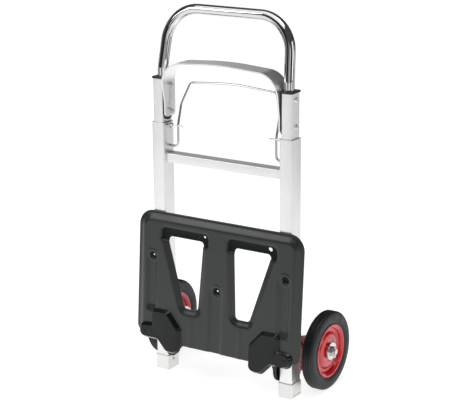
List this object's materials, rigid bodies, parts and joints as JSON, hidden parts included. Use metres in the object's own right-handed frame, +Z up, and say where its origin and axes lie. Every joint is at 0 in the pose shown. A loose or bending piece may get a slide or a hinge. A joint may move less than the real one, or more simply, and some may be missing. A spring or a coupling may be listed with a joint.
{
  "type": "folding hand truck",
  "caption": "Folding hand truck with a sliding chrome handle, aluminium uprights, fold-up toe plate and wheels on swing-in brackets.",
  "frame": {"origin": "middle of the footprint, on the floor", "axes": "+X to the truck's right seen from the toe plate side, +Y from the toe plate towards the wheels, +Z up"},
  "size_m": [0.4482, 0.2272, 0.81],
  "materials": {
    "satin_aluminium": "satin anodised extrusion",
    "cast_aluminium": "light satin, smooth",
    "chrome": "bright chrome plate",
    "zinc_steel": "bright zinc plate",
    "black_powder_coat": "satin dark grey powder coat",
    "black_gloss_paint": "gloss black paint",
    "black_plastic": "moulded black nylon",
    "red_enamel": "gloss red enamel on pressed steel",
    "black_rubber": "solid black rubber"
  },
  "bodies": {
    "frame": {"upright_left": "satin_aluminium", "upright_right": "satin_aluminium", "crossbar": "satin_aluminium", "foot_left": "cast_aluminium", "foot_right": "cast_aluminium", "foot_screws": "zinc_steel", "glide_bush_left": "black_plastic", "glide_bush_right": "black_plastic", "lock_guide_left": "zinc_steel", "lock_guide_right": "zinc_steel", "toe_hinge_bolts": "zinc_steel", "wheel_mount_left": "zinc_steel", "wheel_mount_right": "zinc_steel", "mount_rivets": "zinc_steel", "bracket_pin_left": "zinc_steel", "bracket_pin_right": "zinc_steel"},
    "handle": {"inner_tube_left": "satin_aluminium", "inner_tube_right": "satin_aluminium", "glide_block_left": "black_plastic", "glide_block_right": "black_plastic", "tube_cap_left": "black_plastic", "tube_cap_right": "black_plastic", "grip_plug_left": "black_plastic", "grip_plug_right": "black_plastic", "grip_tube": "chrome", "bow": "satin_aluminium", "bow_spacer_left": "black_plastic", "bow_spacer_right": "black_plastic", "bow_bolts": "zinc_steel", "bow_nuts": "zinc_steel"},
    "bail": {"release_bail": "chrome"},
    "toe_plate": {"toe_plate": "black_powder_coat", "lug_left": "black_gloss_paint", "lug_right": "black_gloss_paint", "lug_pins": "black_gloss_paint", "hinge_cheek_left": "black_gloss_paint", "hinge_cheek_right": "black_gloss_paint", "hinge_bushes": "black_plastic"},
    "lock_pin_left": {"lock_pin_left": "zinc_steel"},
    "wheel_bracket_left": {"bracket_arm_left": "zinc_steel", "axle_left": "zinc_steel", "axle_washer_left": "zinc_steel", "axle_nut_left": "zinc_steel", "split_pin_left": "zinc_steel"},
    "wheel_left": {"tyre_left": "black_rubber", "rim_outer_left": "red_enamel", "rim_inner_left": "red_enamel", "hub_left": "zinc_steel"},
    "lock_pin_right": {"lock_pin_right": "zinc_steel"},
    "wheel_bracket_right": {"bracket_arm_right": "zinc_steel", "axle_right": "zinc_steel", "axle_washer_right": "zinc_steel", "axle_nut_right": "zinc_steel", "split_pin_right": "zinc_steel"},
    "wheel_right": {"tyre_right": "black_rubber", "rim_outer_right": "red_enamel", "rim_inner_right": "red_enamel", "hub_right": "zinc_steel"}
  },
  "joints": [
    {"name": "handle_slide", "type": "slide", "parent": "frame", "child": "handle", "axis": [0, 0, 1], "range_m": [0, 0.32]},
    {"name": "toe_plate_hinge", "type": "hinge", "parent": "frame", "child": "toe_plate", "pos_m": [0, -0.05491, 0.05894], "axis": [1, 0, 0], "range_deg": [0, 94.4]},
    {"name": "bail_hinge", "type": "hinge", "parent": "frame", "child": "bail", "pos_m": [0, -0.04651, 0.506], "axis": [-1, 0, 0], "range_deg": [0, 10], "stiffness_Nm_per_rad": 0.6, "springref_deg": -11.46},
    {"name": "lock_pin_left_slide", "type": "slide", "parent": "frame", "child": "lock_pin_left", "axis": [1, 0, 0], "range_m": [0, 0.007]},
    {"name": "wheel_bracket_left_hinge", "type": "hinge", "parent": "frame", "child": "wheel_bracket_left", "pos_m": [-0.157, -0.02041, 0.087], "axis": [0, 0, -1], "range_deg": [0, 90]},
    {"name": "wheel_left_spin", "type": "hinge", "parent": "wheel_bracket_left", "child": "wheel_left", "pos_m": [-0.199, 0.02859, 0.085], "axis": [1, 0, 0], "continuous": true},
    {"name": "lock_pin_right_slide", "type": "slide", "parent": "frame", "child": "lock_pin_right", "axis": [-1, 0, 0], "range_m": [0, 0.007]},
    {"name": "wheel_bracket_right_hinge", "type": "hinge", "parent": "frame", "child": "wheel_bracket_right", "pos_m": [0.157, -0.02041, 0.087], "axis": [0, 0, 1], "range_deg": [0, 90]},
    {"name": "wheel_right_spin", "type": "hinge", "parent": "wheel_bracket_right", "child": "wheel_right", "pos_m": [0.199, 0.02859, 0.085], "axis": [1, 0, 0], "continuous": true}
  ],
  "couplings": [
    {"joint": "lock_pin_left_slide", "follows": "bail_hinge", "m_per_rad": 0.0401},
    {"joint": "lock_pin_right_slide", "follows": "bail_hinge", "m_per_rad": 0.0401}
  ]
}
